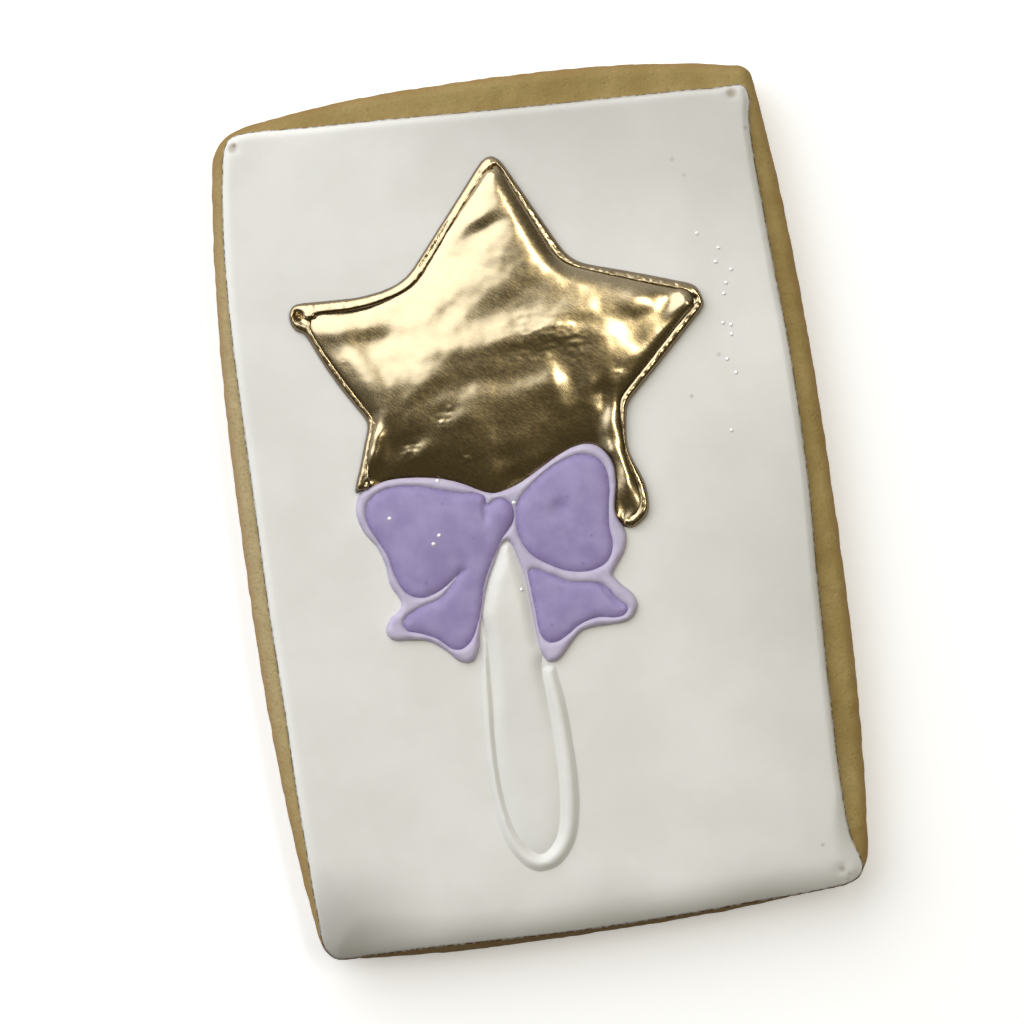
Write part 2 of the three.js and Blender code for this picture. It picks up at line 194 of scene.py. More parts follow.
def region_of(node, step, outset=0.0, opening=None):
    """The region that a CAD node covers, or one of its openings, grown by an outset."""
    outlines = footprint(node)
    if opening is not None:
        outlines = [outlines[opening]]
    loops = [refined(loop, step) for loop in outlines]
    region = Region(loops[:1] + [loop[::-1] for loop in loops[1:]])
    if outset == 0:
        return region
    grown = []
    for loop in region.loops:
        ring = loop - outset * inward(loop)
        clear = region.distance(ring) > 0.95 * outset
        grown.append(evenly(ring[clear], step))
    return Region(grown)


def nearest_of(route, points):
    """Which of a dense route of points is nearest to each point, and how far that is."""
    tree = tree_of(route)
    found = [tree.find((x, y, 0)) for x, y in points]
    return np.array([f[1] for f in found]), np.array([f[2] for f in found])


def reach_of(route, points):
    """How far each point is from a dense route of points."""
    return nearest_of(route, points)[1]


def across(points, route):
    """How far each point is to the left of a route of points, or to its right where negative."""
    route = np.array(route)
    nearest, side = np.full(len(points), np.inf), np.zeros(len(points))
    for a, b in zip(route, route[1:]):
        share = np.clip((points - a) @ (b - a) / ((b - a) @ (b - a)), 0, 1)
        away = points - a - share[:, None] * (b - a)
        far = np.linalg.norm(away, axis=1)
        turn = (b - a)[0] * away[:, 1] - (b - a)[1] * away[:, 0]
        side = np.where(far < nearest, np.sign(turn), side)
        nearest = np.minimum(nearest, far)
    return nearest * side


# ---- Heights ----

def grain(points, size, octaves=3, seed=0.0):
    """Smooth random heights, about -1 to 1, with features of a size."""
    return np.array([noise.fractal(Vector((x / size, y / size, seed)), 1.0, 2.0, octaves) for x, y in points])


def bell(points, x, y, long, short=None, turn=0.0):
    """A soft round or oval swelling of height 1, its long axis turned anticlockwise from +X."""
    short = short or long
    c, s = math.cos(math.radians(turn)), math.sin(math.radians(turn))
    dx, dy = points[:, 0] - x, points[:, 1] - y
    u, v = (dx * c + dy * s) / long, (dy * c - dx * s) / short
    return np.exp(-(u ** 2 + v ** 2))


def lean(points, x, y, long, short, turn, facing, slope):
    """Heights that tip a soft oval patch so that it faces a way, given anticlockwise from +X."""
    way = math.radians(facing)
    along = (points[:, 0] - x) * math.cos(way) + (points[:, 1] - y) * math.sin(way)
    return -slope * along * bell(points, x, y, long, short, turn)


def groove(points, route, depth, width):
    """How far a crease along a route of points dips, fading out at both ends."""
    route = np.array(route)
    dip = np.zeros(len(points))
    count = len(route) - 1
    for i, (a, b) in enumerate(zip(route, route[1:])):
        share = np.clip((points - a) @ (b - a) / ((b - a) @ (b - a)), 0, 1)
        away = np.linalg.norm(points - a - share[:, None] * (b - a), axis=1)
        fade = np.sin(math.pi * (0.1 + 0.8 * (i + share) / count))
        dip = np.maximum(dip, depth * fade * np.exp(-(away / width) ** 2))
    return dip


def rounded(distance, width):
    """A quarter circle's rise from 0 at the edge to 1 at a width in from it."""
    return np.sqrt(1 - (1 - np.minimum(distance / width, 1)) ** 2)


def flattened(distance, width):
    """A parabola's rise from 0 at the edge to 1 at a width in from it."""
    return 1 - (1 - np.minimum(distance / width, 1)) ** 2


def smoothed(share):
    """An S-shaped step from 0 to 1."""
    return share * share * (3 - 2 * share)


def softened(value, width):
    """Zero below 0 and the value above it, with a smooth turn between."""
    return width * np.logaddexp(0, value / width)


def risen(distances, reach):
    """A soft rise from 0 at each of several edges to 1 well away from all of them."""
    return np.prod(1 - np.exp(-distances / reach), 0)


# ---- Meshes ----

def triangles_over(points, loops):
    """Triangles over flat points, inside closed loops that are the first of those points."""
    inside_with_holes, tolerance = 2, 1e-7
    flat = [Vector(p) for p in points]
    out = delaunay_2d_cdt(flat, edges_of(loops), [], inside_with_holes, tolerance)
    source = [origins[0] for origins in out[3]]
    return [[source[v] for v in face] for face in out[2]]


def eased(z, triangles, fixed, rounds):
    """Heights drawn towards their neighbours' average, apart from a first few, which are fixed."""
    t = np.array(triangles)
    a, b = np.vstack([t[:, [0, 1]], t[:, [1, 2]], t[:, [2, 0]]]).T
    count = np.bincount(np.concatenate([a, b]), minlength=len(z))
    for _ in range(rounds):
        total = np.bincount(a, z[b], len(z)) + np.bincount(b, z[a], len(z))
        z = np.concatenate([z[:fixed], (z + total / count)[fixed:] / 2])
    return z


def top_of(region, height, insets, step, easing):
    """The top over a region: its vertices, how far in from the edge each one is, and its triangles."""
    flat, far = [region.starts], [np.zeros(len(region.starts))]
    for inset in insets:
        ring = np.vstack([loop + inset * inward(loop) for loop in region.loops])
        room = region.distance(ring)
        keep = room > 0.97 * inset
        flat.append(ring[keep])
        far.append(room[keep])
    on_rings = sum(len(ring) for ring in flat)
    inside = region.lattice(step)
    room = region.distance(inside)
    keep = room > insets[-1] + 0.6 * step
    flat = np.vstack([*flat, inside[keep]])
    far = np.concatenate([*far, room[keep]])
    triangles = triangles_over(flat, region.loops)
    z = eased(height(flat, far), triangles, on_rings, easing)
    return np.column_stack([flat, z]), far, triangles


def moulded(name, region, height, foot, insets, step, easing=0, crease=0.3, side_crease=1.0):
    """A closed mesh over a region. height(points, distance) is its top. foot lists the courses of its
    side from the underside up, as (inset, z). insets are the distances of rings of points in from the
    edge, and step is the spacing of the points inside the last. easing is how many times the heights
    inside the last ring are smoothed. The mesh attribute crease is 1 at the edge and fades inwards over
    the distance of that name, or is a function of points and distance. side_crease is what it is on the
    side."""
    top, far, triangles = top_of(region, height, insets, step, easing)
    vertices, faces = [top], [list(face) for face in triangles]
    inner = np.vstack([inward(loop) for loop in region.loops])
    edges = edges_of(region.loops)
    above, below = 0, len(top)
    for inset, level in reversed(foot):
        course = region.starts + inset * inner
        vertices.append(np.column_stack([course, np.full(len(course), level)]))
        faces += [[above + a, below + a, below + b, above + b] for a, b in edges]
        above, below = below, below + len(course)
    underside = triangles_over(course, region.loops)
    faces += [[above + v for v in reversed(face)] for face in underside]
    piece = mesh_object(name, np.vstack(vertices), faces)
    depth = np.full(len(piece.data.vertices), side_crease)
    depth[:len(far)] = crease(top[:, :2], far) if callable(crease) else np.exp(-(far / crease) ** 2)
    piece.data.attributes.new("crease", "FLOAT", "POINT").data.foreach_set("value", depth)
    return piece


def mesh_object(name, points, faces):
    mesh = bpy.data.meshes.new(name)
    mesh.from_pydata((points * MM).tolist(), [], faces)
    mesh.validate()
    mesh.shade_smooth()
    mesh.set_sharp_from_angle(angle=math.radians(60))
    obj = bpy.data.objects.new(name, mesh)
    bpy.context.scene.collection.objects.link(obj)
    return obj


def roughen(obj, size, depth):
    """Moves a mesh's surface in and out by smooth random bumps of a size, but for its flat underside."""
    underside = 0.05 * MM
    vertices = [(v, v.co.copy(), v.normal.copy()) for v in obj.data.vertices if v.co.z > underside]
    for vertex, place, normal in vertices:
        vertex.co = place + normal * depth * MM * noise.fractal(place / (size * MM), 1.0, 2.0, 3)


def dress(obj, nodes, material):
    """Makes a piece stand for CAD nodes, with a finish."""
    obj.data.materials.append(material)
    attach(obj, "root")
    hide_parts(*nodes)


# ---- Materials ----

class Finish:
    """A material's node tree, with short calls for the textures that these finishes use."""

    def __init__(self, name):
        self.material = bpy.data.materials.new(name)
        self.material.use_nodes = True
        self.tree = self.material.node_tree
        self.shader = self.tree.nodes["Principled BSDF"]
        self.place = self.tree.nodes.new("ShaderNodeTexCoord").outputs["Object"]

    def link(self, value, socket):
        if isinstance(value, bpy.types.NodeSocket):
            self.tree.links.new(value, socket)
        else:
            socket.default_value = value

    def set(self, **values):
        """Sets the shader's sockets: a constant on the socket itself, and a texture by a link."""
        for name, value in values.items():
            self.link(value, self.shader.inputs[name.replace("_", " ")])

    def stretched(self, turn, length):
        """Places for a texture that is drawn out to a length along a direction, anticlockwise from +X."""
        node = self.tree.nodes.new("ShaderNodeMapping")
        node.vector_type = "TEXTURE"
        node.inputs["Rotation"].default_value = (0, 0, math.radians(turn))
        node.inputs["Scale"].default_value = (length, 1, 1)
        self.link(self.place, node.inputs["Vector"])
        return node.outputs["Vector"]

    def noise(self, size, detail=3.0, roughness=0.5, vector=None, distortion=0.0):
        """Noise with features of a size in millimetres."""
        node = self.tree.nodes.new("ShaderNodeTexNoise")
        node.inputs["Scale"].default_value = 1 / (size * MM)
        node.inputs["Detail"].default_value = detail
        node.inputs["Roughness"].default_value = roughness
        node.inputs["Distortion"].default_value = distortion
        self.link(vector or self.place, node.inputs["Vector"])
        return node.outputs["Fac"]

    def cells(self, size):
        """Distance to the nearest of scattered points that are about a size in millimetres apart."""
        node = self.tree.nodes.new("ShaderNodeTexVoronoi")
        node.inputs["Scale"].default_value = 1 / (size * MM)
        self.link(self.place, node.inputs["Vector"])
        return node.outputs["Distance"]

    def attribute(self, name):
        node = self.tree.nodes.new("ShaderNodeAttribute")
        node.attribute_name = name
        return node.outputs["Fac"]

    def ranged(self, value, low, high, to_low=0.0, to_high=1.0):
        """A smooth step from one number, at a low value, to another at a high value."""
        node = self.tree.nodes.new("ShaderNodeMapRange")
        node.interpolation_type = "SMOOTHSTEP"
        for name, number in (("From Min", low), ("From Max", high), ("To Min", to_low), ("To Max", to_high)):
            node.inputs[name].default_value = number
        self.link(value, node.inputs["Value"])
        return node.outputs["Result"]

    def along(self, axis, low, high, to_low, to_high):
        """A smooth step between two places on an axis of the part, in millimetres."""
        node = self.tree.nodes.new("ShaderNodeSeparateXYZ")
        self.link(self.place, node.inputs["Vector"])
        return self.ranged(node.outputs[axis], low * MM, high * MM, to_low, to_high)

    def spots(self, places):
        """A mask of soft round spots, from a list of (x, y, radius, strength)."""
        core = 0.2  # share of its radius over which a spot is at full strength
        mask = 0.0
        for x, y, radius, strength in places:
            node = self.tree.nodes.new("ShaderNodeVectorMath")
            node.operation = "MULTIPLY_ADD"
            node.inputs[1].default_value = (1, 1, 0)
            node.inputs[2].default_value = (-x * MM, -y * MM, 0)
            self.link(self.place, node.inputs[0])
            length = self.tree.nodes.new("ShaderNodeVectorMath")
            length.operation = "LENGTH"
            self.link(node.outputs["Vector"], length.inputs[0])
            spot = self.ranged(length.outputs["Value"], core * radius * MM, radius * MM, strength, 0.0)
            mask = self.calc("ADD", spot, mask)
        return mask

    def calc(self, operation, a, b):
        node = self.tree.nodes.new("ShaderNodeMath")
        node.operation = operation
        self.link(a, node.inputs[0])
        self.link(b, node.inputs[1])
        return node.outputs[0]

    def mix(self, share, a, b):
        node = self.tree.nodes.new("ShaderNodeMix")
        node.data_type = "RGBA"
        self.link(share, node.inputs["Factor"])
        self.link(a, node.inputs["A"])
        self.link(b, node.inputs["B"])
        return node.outputs["Result"]

    def bump(self, height, depth, normal=None):
        """Bump from a height of 0 to 1 that stands for a depth in millimetres."""
        node = self.tree.nodes.new("ShaderNodeBump")
        node.inputs["Distance"].default_value = depth * MM
        self.link(height, node.inputs["Height"])
        if normal is not None:
            self.link(normal, node.inputs["Normal"])
        return node.outputs["Normal"]


def srgb(red, green, blue):
    """A colour given as it shows on a screen, 0 to 255."""
    return (*[((v / 255 + 0.055) / 1.055) ** 2.4 if v > 10 else v / 3294 for v in (red, green, blue)], 1)


def icing(name, colour, deeper, clouds=9.0, roughness=0.42, spots=(), edge=None):
    """Dried royal icing, mottled in clouds of a size. spots are lists of (x, y, radius, strength), each with
    a colour, and edge is a colour laid on unevenly at the edge, by the crease attribute: painted shade where
    the icing meets its neighbours, and on the base also the biscuit that shows through its thin skirt."""
    f = Finish(name)
    cloud = f.ranged(f.noise(clouds, 4), 0.3, 0.7)
    tint = f.mix(cloud, colour, deeper)
    for places, spot_colour in spots:
        tint = f.mix(f.spots(places), tint, spot_colour)
    # Painted shade at the edge, by the crease attribute, broken up unevenly
    if edge:
        broken = f.ranged(f.noise(0.5, 3), 0.35, 0.6, 0.4, 1.0)
        tint = f.mix(f.calc("MULTIPLY", f.attribute("crease"), broken), tint, edge)
    f.set(Base_Color=tint, IOR=1.45)
    f.set(Roughness=f.ranged(f.noise(0.7, 4), 0.3, 0.7, roughness - 0.06, roughness + 0.08))
    f.set(Subsurface_Weight=0.12, Subsurface_Radius=(1.0, 0.9, 0.8), Subsurface_Scale=1.2 * MM)
    fine = f.bump(f.noise(0.16, 3), 0.006)
    f.set(Normal=f.bump(f.noise(1.3, 2), 0.02, fine))
    return f.material


def gilt():
    """Gold lustre brushed on in strokes under a thin glaze, with painted shade in the creases: brown there,
    and without the glaze.
    """
    f = Finish("gold_lustre")
    strokes = f.noise(0.14, 3, 0.6, f.stretched(turn=-40, length=4), 0.3)
    cloth = f.noise(0.8, 3, 0.55, f.stretched(turn=-25, length=2))
    tone = f.calc("ADD", f.calc("MULTIPLY", strokes, 0.5), f.calc("MULTIPLY", cloth, 0.5))
    metal = f.mix(f.ranged(tone, 0.35, 0.65), srgb(172, 148, 98), srgb(190, 166, 113))
    # Painted shade: at the edges of the gold the crease attribute turns it brown and takes off its glaze
    crease = f.attribute("crease")
    f.set(Base_Color=f.mix(crease, metal, srgb(74, 50, 22)))
    f.set(Metallic=1.0, Roughness=f.ranged(strokes, 0.3, 0.7, 0.2, 0.29))
    f.set(Coat_Weight=f.calc("SUBTRACT", 1.0, crease), Coat_Roughness=0.2, Coat_IOR=2.3)
    f.set(Normal=f.bump(strokes, 0.003, f.bump(cloth, 0.012)))
    return f.material


def baked():
    """Biscuit crumb: a smooth, faintly sandy surface that is browner round its edge, paler to the left, and
    darker along its top and bottom edges in painted shade.
    """
    f = Finish("baked_biscuit")
    patches = f.ranged(f.noise(6, 3, 0.55), 0.3, 0.7)
    crumb = f.noise(0.3, 4, 0.6)
    tint = f.mix(patches, srgb(174, 152, 97), srgb(158, 134, 79))
    # Paler towards the left side, less so towards the bottom
    paler_left = f.calc("MULTIPLY", f.along("X", -31, -27, 0.75, 0), f.along("Y", -40, 0, 0.35, 1))
    tint = f.mix(paler_left, tint, srgb(192, 176, 142))
    tint = f.mix(f.ranged(crumb, 0.4, 0.7, 0, 0.35), tint, srgb(140, 115, 64))
    tint = f.mix(f.calc("MULTIPLY", f.attribute("crease"), 0.6), tint, srgb(146, 110, 58))
    # Painted shade along the top edge
    tint = f.mix(f.along("Y", 38, 42, 0, 0.16), tint, srgb(110, 92, 50))
    # Painted shade along the bottom edge, most of it near the top of the side
    shaded_bottom_edge = f.calc("MULTIPLY", f.along("Y", -45.0, -42.8, 0.75, 0), f.along("Z", 3.0, 5.5, 0.3, 1))
    f.set(Base_Color=f.mix(shaded_bottom_edge, tint, srgb(92, 72, 42)))
    f.set(Roughness=0.75, Specular_IOR_Level=0.3)
    pores = f.ranged(f.cells(0.7), 0.05, 0.3)
    f.set(Normal=f.bump(crumb, 0.07, f.bump(pores, 0.04)))
    return f.material


def sugar():
    f = Finish("sugar_speck")
    f.set(Base_Color=(1, 1, 1, 1), Roughness=0.3, Coat_Weight=1.0, Coat_Roughness=0.15, Coat_IOR=3.2)
    return f.material


def paper():
    """White paper that glows a little, so that it stays white round the cookie's soft shadow."""
    f = Finish("floor_paper")
    f.set(Base_Color=(0.93, 0.93, 0.93, 1), Roughness=0.7)
    f.set(Emission_Color=(1, 1, 1, 1), Emission_Strength=0.3)
    return f.material


# ---- Camera, floor and light ----

VIEW_TILT = math.radians(-8)  # the cookie lies turned a little anticlockwise in the picture
VIEW_CENTRE = Vector((-2.59, -0.23, 6.0))
VIEW_WIDTH = 107.4
LENS, SENSOR = 100, 36
FLOOR_HALF = 900
ROOM_LIGHT_SIDE = 125  # where the room is lighter, in degrees anticlockwise from the picture's right
DARK_SIDE, LIGHT_SIDE = (0.075, 0.063, 0.035, 1), (0.5, 0.5, 0.5, 1)


def make_camera():
    data = bpy.data.cameras.new("camera")
    data.lens, data.sensor_width = LENS, SENSOR
    data.clip_start, data.clip_end = 0.01, 20
    camera = bpy.data.objects.new("camera", data)
    rise = VIEW_WIDTH * LENS / SENSOR
    camera.location = (VIEW_CENTRE + Vector((0, 0, rise))) * MM
    camera.rotation_euler = Euler((0, 0, VIEW_TILT))
    bpy.context.scene.collection.objects.link(camera)
    bpy.context.scene.camera = camera


def make_light(name, azimuth, height, distance, size, power, colour):
    """An oval light aimed at the cookie, its place and size in metres. azimuth is in degrees
    anticlockwise from the picture's right, and height in degrees over the floor."""
    data = bpy.data.lights.new(name, "AREA")
    data.shape = "ELLIPSE"
    data.size, data.size_y = size
    data.energy, data.color = power, colour
    light = bpy.data.objects.new(name, data)
    turn, lift = math.radians(azimuth) + VIEW_TILT, math.radians(height)
    away = Vector((math.cos(lift) * math.cos(turn), math.cos(lift) * math.sin(turn), math.sin(lift)))
    light.location = away * distance
    light.rotation_euler = away.to_track_quat("Z", "Y").to_euler()
    bpy.context.scene.collection.objects.link(light)


def make_world():
    """A room that is dark and warm below the picture, and lighter above it."""
    world = bpy.data.worlds.new("studio")
    world.use_nodes = True
    nodes, links = world.node_tree.nodes, world.node_tree.links
    towards = nodes.new("ShaderNodeVectorMath")
    towards.operation = "DOT_PRODUCT"
    turn = math.radians(ROOM_LIGHT_SIDE) + VIEW_TILT
    towards.inputs[1].default_value = (math.cos(turn), math.sin(turn), 0)
    links.new(nodes.new("ShaderNodeTexCoord").outputs["Generated"], towards.inputs[0])
    share = nodes.new("ShaderNodeMapRange")
    share.interpolation_type = "SMOOTHSTEP"
    share.inputs["From Min"].default_value, share.inputs["From Max"].default_value = -0.1, 0.7
    links.new(towards.outputs["Value"], share.inputs["Value"])
    room = nodes.new("ShaderNodeMix")
    room.data_type = "RGBA"
    room.inputs["A"].default_value, room.inputs["B"].default_value = DARK_SIDE, LIGHT_SIDE
    links.new(share.outputs["Result"], room.inputs["Factor"])
    links.new(room.outputs["Result"], nodes["Background"].inputs["Color"])
    bpy.context.scene.world = world


def make_floor():
    corners = np.array([(-1, -1, 0), (1, -1, 0), (1, 1, 0), (-1, 1, 0)]) * FLOOR_HALF
    floor = mesh_object("floor", corners, [[0, 1, 2, 3]])
    floor.data.materials.append(paper())
    floor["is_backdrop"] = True


# ---- The biscuit and its base of icing ----

CORNER_DIMPLES = [(-26.2, 41.3), (26.1, 39.8), (26.3, -41.8)]
DIMPLE_DEPTH, DIMPLE_RADIUS = 0.25, 0.6
LOW_CORNER = (-27.5, -43.0)  # where the base runs down furthest
# Where the base runs out over the biscuit's edge: x, y, radius, how far
SPILLS = [(-27.9, -43.3, 2.6, 0.42), (27.6, -42.6, 2.2, 0.4)]
# Pinholes and specks in the base, then patches of painted shade along its top, right and bottom edges and at
# its low corner: x, y, radius, strength
PINHOLES = [
    (-26.2, 41.3, 0.75, 0.55), (-25.9, 41.6, 0.35, 0.4), (26.1, 39.8, 0.8, 0.65), (26.3, -41.8, 0.45, 0.4),
    (27.0, -42.4, 0.3, 0.35), (26.8, -43.0, 0.25, 0.3), (24.6, -39.0, 0.3, 0.4), (19, 33.8, 0.35, 0.3),
    (27, 36, 0.35, 0.35), (20, 32, 0.3, 0.25), (17.6, 9.1, 0.3, 0.4), (21.0, 13.0, 0.35, 0.3),
]
PAINTED_SHADE_PATCHES = [
    (10, 52, 30, 0.4), (34, 34, 22, 0.25), (34, -10, 26, 0.25), (36, -42, 28, 0.2), (-29.5, -46.5, 15, 0.7),
    (-23, -40, 8, 0.15), (-12, -51, 14, 0.55), (2, -51, 14, 0.6), (16, -51, 14, 0.6),
]


def make_biscuit(material):
    region = region_of("biscuit", 0.35)
    edge_width, edge_drop = 1.3, 0.9
    unevenness, clearance = 0.06, 0.05

    def height(points, distance):
        fall = (1 - np.minimum(distance / edge_width, 1)) ** 2
        return BISCUIT_TOP - edge_drop * fall + unevenness * grain(points, 2.5, 4) - clearance

    foot = [(0.7, 0.0), (0.35, 0.1), (0.12, 0.4)]
    wall = [(0.02, z) for z in np.arange(0.8, 5.5, 0.4)]
    insets = [0.12, 0.3, 0.55, 0.85, 1.15, 1.5, 1.85, 2.2, 2.6, 3.0, 3.4, 3.8]
    biscuit = moulded("baked_biscuit", region, height, foot + wall, insets, 2.0, crease=0.6)
    roughen(biscuit, size=1.8, depth=0.09)
    dress(biscuit, ["biscuit"], material)


def spill(loop):
    """How far out of its outline the base runs, at each point, with a fine roughness."""
    out = 0.04 * grain(loop, 0.5, 2, 2.0)
    for x, y, radius, far in SPILLS:
        out += far * bell(loop, x, y, radius)
    return out


def make_base(material):
    """The base of icing. A thin skirt runs round it, and its shoulder is wider along the bottom edge,
    most of all at the low corner."""
    region = region_of("base_icing", 0.35)
    region = Region([loop - inward(loop) * spill(loop)[:, None] for loop in region.loops])
    skirt, skirt_top, skirt_slope = 0.13, 0.06, 0.3
    shoulder_width, wider_at_bottom, wider_at_corner = 0.8, 2.5, 3.0
    bottom_from, bottom_depth, corner_radius = -34, 8, 9
    bottom_shade_width, bottom_shade_from, bottom_shade_depth = 0.15, -40, 3

    def height(points, distance):
        to_bottom = np.clip((bottom_from - points[:, 1]) / bottom_depth, 0, 1)
        to_corner = bell(points, *LOW_CORNER, corner_radius)
        width = shoulder_width + wider_at_bottom * to_bottom + wider_at_corner * to_corner
        z = BISCUIT_TOP + skirt_top + skirt_slope * np.minimum(distance, skirt)
        z += (BASE_TOP - z) * rounded(np.maximum(distance - skirt, 0), width)
        z += 0.05 * grain(points, 14, 2, 3.0) * np.minimum(distance / 3, 1)
        for x, y in CORNER_DIMPLES:
            z -= DIMPLE_DEPTH * bell(points, x, y, DIMPLE_RADIUS)
        return z

    def crease(points, distance):
        """Where the edge colour shows: round the skirt as a painted contact shadow, with biscuit showing
        through, and a little more of the edge at the bottom as painted shade.
        """
        reach = skirt + bottom_shade_width * np.clip((bottom_shade_from - points[:, 1]) / bottom_shade_depth, 0, 1)
        return np.exp(-(distance / reach) ** 4)

    foot = [(0.15, BISCUIT_TOP - 0.95), (0.0, BISCUIT_TOP - 0.1)]
    insets = [0.07, skirt, 0.17, 0.24, 0.35, 0.5, 0.75, 1.05, 1.4, 1.8, 2.2]
    base = moulded("white_base", region, height, foot, insets, 0.5, easing=1, crease=crease, side_crease=0.2)
    dress(base, ["base_icing"], material)


# ---- The star ----

TO_LIGHT = np.array([-0.6, 0.8])
STAR_TIPS = [(-20.5, 22.1), (0.45, 36.4), (18.95, 19.3)]
# The outside of the star's right leg: x, y, half-width, half-length
LEG_OUTSIDE = (11.0, 4.6, 1.0, 3.4)
LINE_LEAN = np.array([0.03, 0.32])  # how much the top of the line tips to the light, along X and Y
# The line's curled ends: x, y, radius, depth
CURLS = [(-21.7, 22.95, 0.45, 0.8), (19.15, 19.1, 0.28, 0.35)]
LINE_SLIT = [(-8.5, 26.2), (-7.4, 27.35), (-6.4, 28.6), (-5.4, 29.9), (-4.95, 30.5)]


def slimmed(loop, depth):
    """A loop of the star, drawn in along the outside of its right leg."""
    return loop - depth * bell(loop, *LEG_OUTSIDE)[:, None] * np.array([1.0, 0.1])


def reshaped(loop, on_rim, back, towards_light=0.35):
    """The line's loop, drawn back where it runs round the outside of the star, and moved further into the
    star where its inside faces the light. on_rim is 1 outside and 0 inside."""
    lit = np.clip(2 * inward(loop) @ TO_LIGHT - 1, 0, 1)[:, None]
    return loop + (back * on_rim - towards_light * lit * (1 - on_rim)) * inward(loop)


def gold_line_region(flood_edge):
    """The region of the star's line. It is grown more into the star than out of it."""
    outset, far_outset, slimming = 0.1, 0.33, 0.7
    inside_reach, blend = 0.6, 0.3  # from the flood's edge
    loops = []
    for loop in region_of("star_outline", 0.18, far_outset).loops:
        on_rim = np.clip((reach_of(flood_edge, loop) - inside_reach) / blend, 0, 1)[:, None]
        loops.append(slimmed(reshaped(loop, on_rim, far_outset - outset), slimming))
    return Region(loops)


def make_gold_line(material):
    """The star's line. Its flattened top tips one way all round, as if pressed, and ends in curls."""
    flood_edge = evenly(footprint("star_flood")[0], 0.05)
    region = gold_line_region(flood_edge)
    edge = evenly(region.starts, 0.05)
    outside_reach = 0.62  # from the flood's edge
    on_outside = reach_of(flood_edge, edge) > outside_reach
    outside, facing = edge[on_outside], -inward(edge)[on_outside] @ LINE_LEAN
    top, middle, half_width = 1.0, 0.5, 0.6
    edge_width, shaded_width = 0.38, 0.95

    def height(points, distance):
        nearest, outwards = nearest_of(outside, points)
        off_middle = np.clip(middle - outwards, -half_width, half_width)
        z = top - facing[nearest] * off_middle
        z += 0.06 * grain(points, 1.3, 3, 4.0) + 0.03 * grain(points, 0.4, 2, 6.0)
        on_outer_side = outwards < distance + 0.02
        shaded = np.clip(-facing[nearest] / np.linalg.norm(LINE_LEAN), 0, 1) * on_outer_side
        z *= rounded(distance, edge_width + (shaded_width - edge_width) * shaded)
        for x, y, radius, depth in CURLS:
            z -= depth * bell(points, x, y, radius)
        z -= groove(points, LINE_SLIT, depth=0.22, width=0.17)
        return BASE_TOP + z

    insets = [0.04, 0.1, 0.18, 0.28, 0.4]
    line = moulded("gold_line", region, height, ON_BASE, insets, 0.13, easing=1, crease=0.28)
    dress(line, ["star_outline"], material)


# The line that the star's flood rises to, from its lower left foot to its top arm
STAR_CREST = [
    (-18.0, 13.0), (-13.5, 12.8), (-9.0, 15.0), (-5.5, 17.6), (-2.0, 20.7), (0.9, 23.8), (1.3, 26.5),
    (0.9, 31.0), (0.5, 36.0),
]
BOW_NOTCH = -1.5  # where the bow's top edge dips between its loops, along X
# Places where the flood leans another way: x, y, half-length, half-width, turn, the way it faces, slope
STAR_LEANS = [
    # Left arm
    (-15.8, 20.1, 4.4, 1.5, -6, -80, 0.26), (-13.8, 18.2, 3.5, 1.4, -20, -70, 0.09),
    (-17.0, 16.8, 4.5, 1.5, -62, 208, 0.24),
    # Top arm
    (-1.6, 29.8, 2.0, 1.1, 14, -65, 0.2), (-3.8, 26.0, 3.0, 1.8, 55, 125, 0.06),
    (2.0, 23.2, 2.4, 1.3, 20, -90, 0.05),
    # Right arm
    (14.0, 18.6, 2.6, 1.5, -5, -90, 0.23), (10.55, 16.4, 2.6, 2.1, 0, 10, 0.12),
    (17.5, 18.3, 2.2, 1.8, -10, 125, 0.34), (7.6, 18.8, 1.8, 1.1, 0, -100, 0.14),
    (11.2, 13.4, 1.6, 1.1, 40, -90, 0.12),
    # Upper middle, with the dark band below it
    (-9.5, 21.2, 4.0, 1.8, 30, 125, 0.05), (-5.8, 20.6, 2.4, 1.3, 30, 125, 0.1),
    (0.6, 19.3, 5.2, 2.1, -2, 120, 0.15), (3.0, 18.5, 2.2, 1.2, 0, 122, 0.1),
    (-0.5, 16.5, 7.0, 1.1, 0, -90, 0.1),
    # Lower middle
    (0.4, 12.7, 7.0, 1.6, 0, 112, 0.13), (-4.6, 13.4, 1.8, 1.4, 0, 115, 0.12),
    (-9.7, 13.3, 1.9, 1.0, 30, -60, 0.1), (4.2, 12.8, 3.0, 1.5, -75, 10, 0.12),
    (4.9, 11.6, 2.2, 1.6, -75, 10, 0.06), (6.9, 12.0, 2.6, 1.0, 0, 118, 0.12),
    (5.0, 10.6, 1.8, 1.2, 0, 120, 0.14), (8.6, 10.7, 1.2, 1.0, 0, 120, 0.13),
    # Next to the bow
    (-15.6, 8.2, 3.0, 1.5, 65, -40, 0.3), (-11.7, 7.6, 2.4, 1.3, 20, 120, 0.25),
    (-7.3, 10.4, 2.0, 1.0, 0, 120, 0.12), (-1.8, 7.6, 2.2, 1.8, 0, 120, 0.07),
    (-1.5, 5.0, 3.0, 1.4, 0, 120, 0.14),
    # Right leg
    (8.9, 8.6, 2.5, 0.9, -82, 127, 0.27), (8.5, 6.3, 1.6, 0.9, 88, -40, 0.25),
    (8.5, 3.0, 2.4, 0.9, 88, -40, 0.28), (9.2, -0.4, 3.4, 1.3, 88, -110, 0.3),
]
